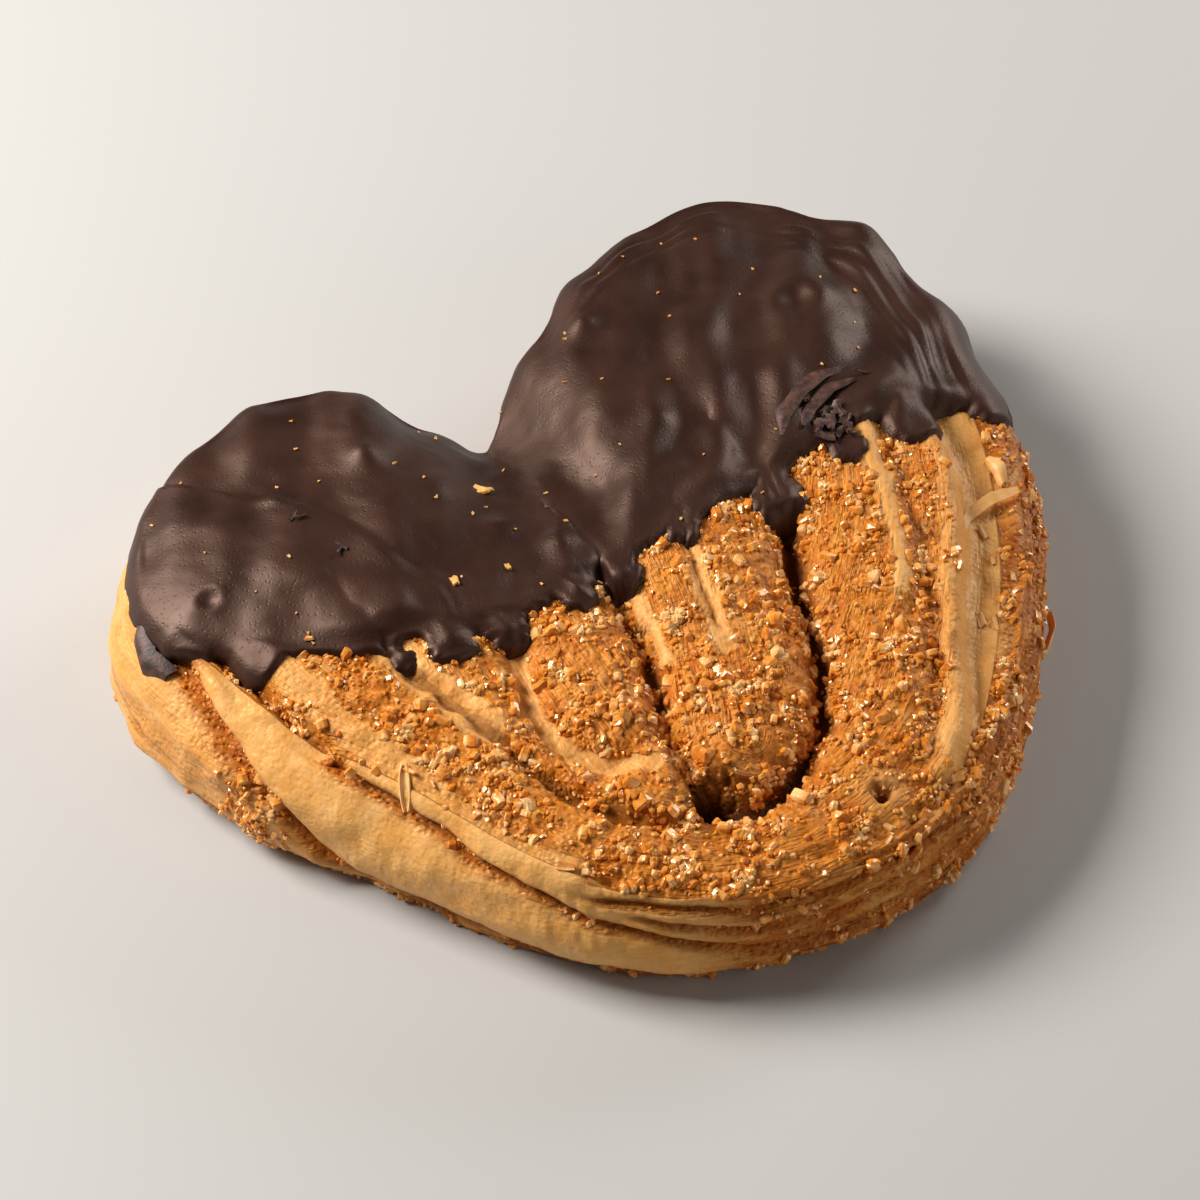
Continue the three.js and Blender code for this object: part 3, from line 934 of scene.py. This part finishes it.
def flake_grid(rng, place, normal, along, length, width, curl, rows=7, columns=5):
    """A torn flake: a curved, rough-edged sheet that lifts from the surface at one end."""
    along = along - normal * (along @ normal)
    along = along / max(np.linalg.norm(along), 1e-9)
    side = np.cross(normal, along)
    u = np.linspace(-0.5, 0.5, rows)[:, None]
    v = np.linspace(-0.5, 0.5, columns)[None, :]
    taper = 1 - rng.uniform(0.2, 0.8) * (u + 0.5) ** 2
    ragged = 1 + 0.25 * rng.uniform(-1, 1, (rows, columns)) * (np.abs(u) > 0.3) + 0 * v
    lift = curl * (u + 0.5) ** 2 * length + 0.12 * np.cos(v * 5 + rng.uniform(0, 6)) * width
    a = (u * length * ragged)[..., None] * along
    b = (v * width * taper + 0.06 * width * rng.uniform(-1, 1, (rows, columns)))[..., None] * side
    return place + a + b + (lift + 0.15)[..., None] * normal


def flake_material(name, colour, edge):
    """Thin dough or crumb, blotched with a second colour."""
    n = Nodes(name)
    patches = n.noise(1.4, 3.0)
    n.link(n.blend(n.rise(patches, 0.4, 0.65), colour, edge), n.shader.inputs["Base Color"])
    n.surface(
        Roughness=0.5,
        Subsurface_Weight=0.2,
        Subsurface_Scale=0.001,
    )
    fine = n.noise(0.5, 3.0)
    n.link(n.bump(fine, 0.08, 0.7), n.shader.inputs["Normal"])
    return n.material


def flakes(crust):
    """Loose flakes of dough that stand off the strands, the rim and the foot."""
    rng = np.random.RandomState(23)
    grid, points = crust["grid"], crust["points"]
    dry = dip_depth(points, grid.on_top) < -0.5
    near_rim = bell(grid.share - 1, 0.05) * grid.on_top
    foot = bell(points[..., 2], 1.4) * ~grid.on_top
    lines = (crust["brown"] > 0.5) * (crust["bare"] < 0.6) * 0.25
    sheets = []
    groups = ((near_rim, 16, 1.0, 2.2), (foot, 60, 0.8, 2.0), (lines, 20, 0.8, 1.6))
    for weights, count, low, high in groups:
        places, normals = surface_pick(rng, crust, weights * dry, count)
        for place, normal in zip(places, normals):
            out = place - np.append(HUB, place[2])
            along = np.array([-out[1], out[0], 0]) + rng.normal(0, 6, 3)
            length = rng.uniform(low, high)
            width = length * rng.uniform(0.3, 0.6)
            curl = rng.uniform(0, 0.3)
            sheet = flake_grid(rng, place, normal, along, length, width, curl)
            sheet[..., 2] = np.maximum(sheet[..., 2], 0.08)
            sheets.append((sheet, 0.09))
    return sheet_piece("dough_flakes", sheets, flake_material("thin_flakes", TAN, GOLD), "pastry")


# ---------------------------------------------------------------- the chocolate
DRIPS = [  # where along the dip edge, how far it has run down, half width, sideways slant
    (-41.0, 0.3, 2.2, 0.3),
    (-26.6, 1.9, 1.1, 0.6),
    (-20.5, 0.5, 2.6, 0.3),
    (-14.5, 0.8, 2.0, 0.9),
    (-4.6, 0.3, 2.0, 0.5),
    (1.4, 0.7, 2.4, 0.2),
    (11.6, 0.4, 1.8, -0.3),
    (24.6, 3.0, 2.9, -0.6),
    (34.6, 1.8, 2.0, 0.3),
    (44.6, 1.0, 3.2, 0.0),
    (56.0, 0.5, 2.2, 0.0),
]
PIMPLES = [  # plan place, radius and height of lumps under the chocolate
    (-29, 23, 1.8, 0.9),
    (-17, 24, 2.0, 1.1),
    (-31, 9, 2.4, 0.9),
    (-24, 1, 1.8, 0.8),
    (-12, 17, 2.6, 0.5),
    (-38, 22, 2.5, 0.6),
    (-7, 7, 2.4, 0.7),
    (-3, 2, 1.8, 0.6),
    (17, 33, 1.7, 1.0),
    (21, 38, 2.2, 0.7),
    (15, 5, 2.0, 0.9),
    (17, 13, 2.2, 0.6),
    (33, 14, 2.6, 0.7),
    (46, 24, 2.8, 0.7),
    (52, 30, 2.4, 0.6),
    (31, 40, 3.0, 0.6),
]
DIMPLES = [(41, 24, 2.0, 0.8), (-42, 12, 1.0, 0.45)]
TERRACE = [(-33, 26), (-24.8, 17.1), (-21, 5.9), (-18.2, 1.1), (-18.5, -5)]  # edge of the second coat


def dip_depth(points, on_top):
    """How far each point lies inside the dipped part, in mm. It is negative where the pastry stays bare."""
    plan = points[..., :2]
    front, _ = along_curve(plan, DIP_EDGE)
    level = np.concatenate([plan, 0 * plan[..., :1]], axis=-1)
    front = front + 0.8 * fractal(level, 7.0, 2, 51)
    for x, run, width, slant in DRIPS:
        top_y = np.interp(x, *curve_through(DIP_EDGE).T)
        start = np.array([x, top_y + 1.5])
        travel = np.array([slant, -run - 1.5])
        t = np.clip(((plan - start) @ travel) / (travel @ travel), 0, 1)
        gap = plan - start - t[..., None] * travel
        finger = width * (1 + 0.25 * t) - np.hypot(gap[..., 0], gap[..., 1])
        blend = 0.5 + 0.5 * np.clip((front - finger) / 1.6, -1, 1)
        front = mix(finger, front, blend) + 0.8 * blend * (1 - blend)
    nicks = 0.3 - 1.0 * np.minimum(np.abs(fractal(level, 2.6, 2, 52)), 0.8)
    front = front + nicks * bell(front, 1.3)
    low_edge = COAT_LOW_EDGE + COAT_LOW_EDGE_SLOPE * plan[..., 0] + 1.8 * smooth(-38, -50, plan[..., 0])
    low = points[..., 2] - low_edge + 1.1 * fractal(points, 5.0, 3, 53)
    return np.where(on_top, front, np.minimum(front, low))


FLOW_ACROSS = (0.891, -0.454)  # the chocolate ran off the lobes in this frame
FLOW_DOWN = (0.454, 0.891)


def coat_waves(grid, points, inward):
    """The coat's own relief: runs of flow, swells, the second coat's edge, ribs at the right, and lumps."""
    x, y = points[..., 0], points[..., 1]
    across = FLOW_ACROSS[0] * x + FLOW_ACROSS[1] * y
    down = FLOW_DOWN[0] * x + FLOW_DOWN[1] * y
    flow = noise(np.stack([across, down, points[..., 2]], -1), (6.2, 17, 16), 61)
    flow = flow * mix(0.5, 1.0, smooth(-8, 8, x))
    swell = fractal(points, (12, 12, 12), 2, 63)
    terrace, _ = along_curve(points[..., :2], TERRACE)
    swell = swell + 1.2 * smooth(0.9, -0.9, terrace) * smooth(-20, -6, terrace)
    degrees = np.degrees(grid.angles)
    ribbed = smooth(5, 16, degrees) * (1 - smooth(55, 75, degrees))
    ribbed = ribbed * smooth(0.5, 2.5, inward) * smooth(9, 6, inward)
    swell = swell + 0.55 * ribbed * np.sin(inward * 2.3 + 0.8 * noise(points, 9, 67)) * grid.on_top
    lumps = np.zeros(inward.shape)
    for lump_x, lump_y, radius, rise in PIMPLES:
        lumps += rise * bell(np.hypot(x - lump_x, y - lump_y), radius)
    for lump_x, lump_y, radius, sink in DIMPLES:
        around = np.hypot(x - lump_x, y - lump_y) / radius
        lumps += sink * (0.22 * bell(around - 1.5, 0.5) - np.exp(-(around**2.5)))
    return 1.9 * flow + 0.6 * swell + lumps - 0.1


def closed_shell(outer, inner, keep):
    """Vertices and faces of the shell between two grids of points, over the part that is kept."""
    columns, rings = keep.shape
    quads, _ = grid_faces(columns, rings)
    quads = quads[keep.reshape(-1)[quads].all(axis=1)]
    edges = np.concatenate([quads[:, [0, 1]], quads[:, [1, 2]], quads[:, [2, 3]], quads[:, [3, 0]]])
    total = columns * rings
    key = edges.min(1).astype(np.int64) * total + edges.max(1)
    _, index, count = np.unique(key, return_index=True, return_counts=True)
    rim = edges[index[count == 1]]
    sides = np.stack([rim[:, 1], rim[:, 0], rim[:, 0] + total, rim[:, 1] + total], axis=1)
    faces = np.vstack([quads, quads[:, ::-1] + total, sides])
    points = np.vstack([outer.reshape(-1, 3), inner.reshape(-1, 3)])
    used, compact = np.unique(faces, return_inverse=True)
    return points[used], compact.reshape(faces.shape)


def chocolate():
    """The coat as one closed shell: its outside, and an inside sunk a little into the pastry."""
    grid = Grid(graded_angles(480, -14, 206, 0.0), 88, 30, 0)
    points, inward = body_points(grid)
    height = strands(points[:, : grid.top, :2])[0]
    height = np.pad(height, ((0, 0), (0, points.shape[1] - grid.top)), mode="edge")
    rim_blend = np.where(grid.on_top, 1.0, 1 - smooth(0.0, 0.25, grid.drop))
    bare_points = points.copy()
    bare_points[..., 2] += height * rim_blend
    points[..., 2] += 0.12 * height * rim_blend
    normals = grid_normals(points)
    depth = dip_depth(points, grid.on_top)

    inside = smooth(0.3, 4.5, depth)
    body = mix(0.75, COAT_THICKNESS, smooth(0.5, 3.5, depth)) + 0.10 * fractal(points, 3.2, 2, 65)
    body = body + inside * coat_waves(grid, points, inward)
    least = 0.5 - 0.8 * inside * grid.on_top
    body = least + np.logaddexp(0, 3 * (body - least)) / 3
    t = np.clip(depth / 0.75, 0, 1)
    bead = np.sqrt(1 - (1 - t) ** 2)
    thickness = np.where(depth > 0, -0.15 + (body + 0.15) * bead, -0.15 + 0.9 * depth)
    rest_on = mix(bare_points, points, smooth(0.0, 2.5, depth)[..., None])
    outer = rest_on + normals * thickness[..., None]
    above = np.maximum(outer[..., 2] - COAT_CEILING, 0)
    outer[..., 2] -= above - 0.6 * np.tanh(above / 0.6)
    vertices, faces = closed_shell(outer, rest_on - 0.9 * normals, depth > -0.9)
    piece = mesh_object("chocolate_shell", vertices, [faces])
    return finish_piece(piece, chocolate_material(), "chocolate", "chocolate_coat")


def strip(path, width, rows=14, columns=5, curl=0.0, taper=0.5):
    """A thin strip that follows a path of points, set across by the width vector and curled along it."""
    path = np.array(path, float)
    t = np.linspace(0, len(path) - 1, rows)
    line = np.stack([np.interp(t, np.arange(len(path)), path[:, k]) for k in range(3)], -1)
    width = np.array(width, float)
    along = line[-1] - line[0]
    rise = np.cross(along, width)
    rise /= np.linalg.norm(rise)
    v = np.linspace(-0.5, 0.5, columns)
    narrow = 1 - taper * np.abs(np.linspace(-1, 1, rows)) ** 2.5
    sheet = line[:, None, :] + (narrow[:, None] * v)[..., None] * width
    return sheet + (curl * np.linalg.norm(width) * (v**2 * 4))[None, :, None] * rise


def on_wall(degrees, height, out):
    """A point near the wall, out from where the body's own curve has that height."""
    angle = math.radians(degrees)
    drop = np.clip((height - BULGE_HEIGHT) / (FOLD_HEIGHT - BULGE_HEIGHT), 0, 1)
    reach = float(foot_reach(angle)) - (FRONT_INSET + 2) * (1 - math.sqrt(1 - drop**2)) + out
    return HUB[0] + reach * math.cos(angle), HUB[1] + reach * math.sin(angle), height


TORN_SHEETS = [  # path, width vector, curl and thickness
    ([(42, -15, 17.2), (45, -12.4, 16.8), (48.5, -11.6, 17.2), (52.4, -11.4, 16.6)],
     (0.2, 1.5, 0.5), 0, 0.16),
    ([(51.2, -9.8, 16.8), (51.6, -7.8, 17.6), (51.4, -5.6, 17.2)], (1.6, 0.4, 0.9), 0.3, 0.15),
    ([(-31.8, -18, 18.3), (-32.6, -19.8, 17.2), (-33.5, -22, 15.2)], (1.1, -0.5, 0.2), 0.3, 0.18),
    ([on_wall(134, 14, -0.2), on_wall(138, 15.6, 0.5), on_wall(142, 15, 0.1)], (0.3, 0.2, 2.0), 0.2, 0.2),
    ([on_wall(342, 6.5, 0), on_wall(344, 8, 0.7), on_wall(347, 8, 0.1)], (0.2, 0, 1.9), 0.3, 0.15),
]


def torn_sheets():
    """The larger torn sheets of dough, each where it hangs or stands."""
    sheets = [(strip(path, width, curl=curl), thickness) for path, width, curl, thickness in TORN_SHEETS]
    return sheet_piece("torn_sheets", sheets, flake_material("torn_dough", CREAM, TAN), "pastry")


def chocolate_bits(coat_tree):
    """Curled shavings and snapped lumps near the dip edge, and a broken flap at the left."""
    rng = np.random.RandomState(31)

    def seat(x, y, above):
        return np.array([x, y, coat_height(coat_tree, x, y) + above])

    outer_arc = [(28.4, 4.2), (30.2, 7.4), (33.4, 9.8), (37.2, 11.2), (41.0, 10.8)]
    inner_arc = [(31.4, 4.4), (33.6, 7.2), (37.0, 8.8), (40.6, 8.4)]
    flap = [(-48.4, 18.0, 17.6), (-50.8, 14.6, 16.6), (-51.4, 11.4, 15.6), (-49.8, 8.2, 15.6)]
    sheets = [
        (strip([seat(x, y, 0.15) for x, y in outer_arc], (1.2, -2.6, 0.5), 22, 7, 0.12, 0.95), 0.25),
        (strip([seat(x, y, 0.35) for x, y in inner_arc], (1.1, -2.3, 0.6), 20, 7, 0.12, 0.95), 0.25),
        (strip(flap, (1.6, 0.4, 3.4), 16, 7, -0.3), 0.5),
    ]
    for _ in range(16):
        x, y = rng.normal(35.2, 1.8), rng.normal(4.4, 1.5)
        length = rng.uniform(1.0, 2.4)
        sheet = flake_grid(rng, seat(x, y, 0), UP, rng.normal(size=3), length, 0.6 * length, 0.3, 5, 4)
        sheets.append((sheet, rng.uniform(0.25, 0.6)))
    for x, y in [(-29.1, 17.7), (-28.4, 17.2), (-26.6, 10.4), (-26.0, 10.9), (42.2, 9.0)]:
        sheet = flake_grid(rng, seat(x, y, 0.05), UP, rng.normal(size=3), 1.5, 0.4, 0.2, 5, 3)
        sheets.append((sheet, 0.15))
    return sheet_piece("chocolate_chips", sheets, snapped_chocolate_material(), "chocolate")


def coat_height(tree, x, y):
    """Height of the coat above a plan point, or of the crown where there is no coat."""
    start = Vector((np.array([x, y, 40.0]) + PLAN_ORIGIN) * MM)
    hit = tree.ray_cast(start, Vector((0, 0, -1)))[0]
    return LOBE_HEIGHT if hit is None else hit.z / MM


def crumbs(coat_tree):
    """Gold flakes of crust and pale specks that stuck to the chocolate as it set."""
    rng = np.random.RandomState(37)
    sheets = []
    placed = [(-5.7, 15.5, 2.2), (-16.4, 0.7, 1.3), (-9.7, 0.5, 0.9), (18.5, -3.8, 0.8), (-34.7, 1.0, 0.9)]
    specks = [(rng.uniform(-48, 52), rng.uniform(-4, 44), rng.uniform(0.3, 0.5)) for _ in range(70)]
    for x, y, size in placed + specks:
        height = coat_height(coat_tree, x, y)
        if height == LOBE_HEIGHT:
            continue
        place = np.array([x, y, height - 0.02])
        sheet = flake_grid(rng, place, UP, rng.normal(size=3), size, 0.65 * size, 0.15, 4, 4)
        sheets.append((sheet, 0.3 * min(size, 1)))
    return sheet_piece("coat_crumbs", sheets, flake_material("gold_crumb", STRAW, GOLD), "pastry")


# ---------------------------------------------------------------- stage, light, camera
VIEW_AZIMUTH = -27.0
VIEW_ELEVATION = 48.0
VIEW_DISTANCE = 0.4734
LENS = 120.0
AIM_HEIGHT = 12.0
AIM_RIGHT = 1.78  # the camera aims a little to the right of the seam point


LIGHTS = [  # place to the right of, beyond and above the target in metres; size, power and colour
    ("key", -0.44, 0.12, 0.36, 0.26, 6.6, (1, 0.97, 0.93)),
    ("rim", 0.38, 0.36, 0.20, 0.22, 1.5, (1, 0.98, 0.95)),
    ("fill", 0.42, -0.20, 0.14, 0.34, 0.5, (1, 0.93, 0.84)),
]


def stage():
    """The pale floor that the part stands on. It isn't part of the object."""
    bpy.ops.mesh.primitive_plane_add(size=3)
    floor = bpy.context.active_object
    floor.name = "floor"
    n = Nodes("pale_floor")
    n.surface(
        Base_Color=(0.46, 0.45, 0.435, 1),
        Roughness=0.7,
    )
    floor.data.materials.append(n.material)


def area_light(name, position, target, size, power, colour):
    """A square light that faces the target."""
    data = bpy.data.lights.new(name, "AREA")
    data.size, data.energy, data.color = size, power, colour
    lamp = bpy.data.objects.new(name, data)
    lamp.location = position
    lamp.rotation_euler = (Vector(target) - Vector(position)).to_track_quat("-Z", "Y").to_euler()
    bpy.context.scene.collection.objects.link(lamp)


def view_vectors():
    """Unit vectors from the target back to the camera, and to the camera's right."""
    a, e = math.radians(VIEW_AZIMUTH), math.radians(VIEW_ELEVATION)
    back = Vector((math.sin(a) * math.cos(e), -math.cos(a) * math.cos(e), math.sin(e)))
    right = Vector((math.cos(a), math.sin(a), 0))
    return back, right


def camera_and_lights():
    """The camera, three area lights and a dim, even surrounding light."""
    back, right = view_vectors()
    target = Vector((PLAN_ORIGIN + AIM_HEIGHT * UP) * MM) + right * AIM_RIGHT * MM
    data = bpy.data.cameras.new("camera")
    data.lens, data.sensor_width = LENS, 36
    data.clip_start, data.clip_end = 0.01, 10
    camera = bpy.data.objects.new("camera", data)
    camera.location = target + back * VIEW_DISTANCE
    camera.rotation_euler = (-back).to_track_quat("-Z", "Y").to_euler()
    bpy.context.scene.collection.objects.link(camera)
    bpy.context.scene.camera = camera

    ahead = Vector((-back.x, -back.y, 0)).normalized()
    for name, across, along, above, size, power, colour in LIGHTS:
        position = target + right * across + ahead * along + Vector((0, 0, above))
        area_light(name, position, target, size, power, colour)
    world = bpy.data.worlds.new("studio")
    world.use_nodes = True
    background = world.node_tree.nodes["Background"]
    background.inputs["Color"].default_value = (1, 0.98, 0.95, 1)
    background.inputs["Strength"].default_value = 0.11
    bpy.context.scene.world = world
    bpy.context.scene.view_settings.view_transform = "Standard"


camera_and_lights()
stage()
crust = pastry()
sugar(crust)
flakes(crust)
torn_sheets()
coat = chocolate()
coat_tree = tree_of(coat)
chocolate_bits(coat_tree)
crumbs(coat_tree)
